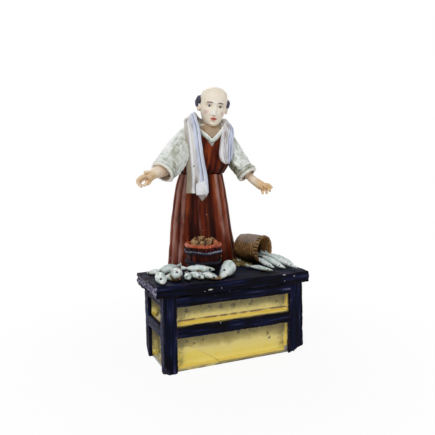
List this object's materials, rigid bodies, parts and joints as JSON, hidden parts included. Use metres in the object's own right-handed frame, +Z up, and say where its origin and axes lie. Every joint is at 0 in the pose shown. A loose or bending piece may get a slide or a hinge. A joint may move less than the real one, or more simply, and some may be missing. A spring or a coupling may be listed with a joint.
{
  "type": "nativity figurine",
  "caption": "Painted nativity figurine of a fishmonger with open arms behind a panelled market bench that holds fish, a tub of shells and a tipped basket.",
  "frame": {"origin": "middle of the bench's footprint, on the ground", "axes": "+Z up, +X along the bench to the viewer's right, -Y out of the bench's front, where the fishmonger looks"},
  "size_m": [0.0605, 0.0477, 0.1011],
  "materials": {
    "bench_frame": "dark bluish-brown paint over carved wood grain, satin, rubbed reddish at the edges",
    "bench_panel": "golden yellow paint with grey-olive grime, glossy",
    "tunic": "red-brown paint with dark grooves, satin",
    "shirt": "off-white paint with grey-green shading, satin",
    "towel": "white paint with beige and lavender streaks, satin",
    "skin": "pale skin tone, golden at the hands, satin",
    "hair": "dark purple-black paint, satin",
    "shoe": "dark brown paint, satin",
    "stave": "dark red-brown paint, satin",
    "terracotta": "orange-red paint, satin",
    "rope": "grey-blue paint on a twisted rope, matte",
    "shell": "tan and olive paint on ribbed shells, satin",
    "wicker": "brown paint over woven wicker, golden on the high spots, satin",
    "straw": "straw-coloured paint, matte",
    "fish": "white and pale green paint with grey-green backs, glossy"
  },
  "bodies": {
    "root": {"bench_core": "bench_panel", "bench_top": "bench_frame", "leg_front_left": "bench_frame", "leg_front_right": "bench_frame", "leg_rear_left": "bench_frame", "leg_rear_right": "bench_frame", "rail_front_top": "bench_frame", "rail_front_middle": "bench_frame", "rail_rear_top": "bench_frame", "rail_rear_middle": "bench_frame", "rail_left_top": "bench_frame", "rail_left_middle": "bench_frame", "rail_right_top": "bench_frame", "rail_right_middle": "bench_frame", "tunic_skirt": "tunic", "tunic_bodice": "tunic", "shirt_body": "shirt", "shirt_collar": "shirt", "sleeve_right": "shirt", "cuff_right": "shirt", "sleeve_left": "shirt", "cuff_left": "shirt", "head": "skin", "hand_right": "skin", "hand_left": "skin", "hair": "hair", "towel": "towel", "shoe_right": "shoe", "shoe_left": "shoe", "tub_body": "stave", "tub_rim": "terracotta", "tub_hoop_upper": "rope", "tub_hoop_lower": "rope", "shell_1": "shell", "shell_2": "shell", "shell_3": "shell", "shell_4": "shell", "shell_5": "shell", "shell_6": "shell", "basket": "wicker", "basket_rim": "wicker", "fish_pile_1": "fish", "fish_pile_2": "fish", "fish_pile_3": "fish", "fish_pile_4": "fish", "fish_pile_5": "fish", "fish_pile_6": "fish", "fish_pile_7": "fish", "fish_pile_8": "fish", "fish_pile_9": "fish", "fish_middle": "fish", "fish_basket_1": "fish", "fish_basket_2": "fish", "fish_basket_3": "fish", "fish_basket_4": "fish", "fish_basket_5": "fish", "straw": "straw"}
  },
  "joints": []
}
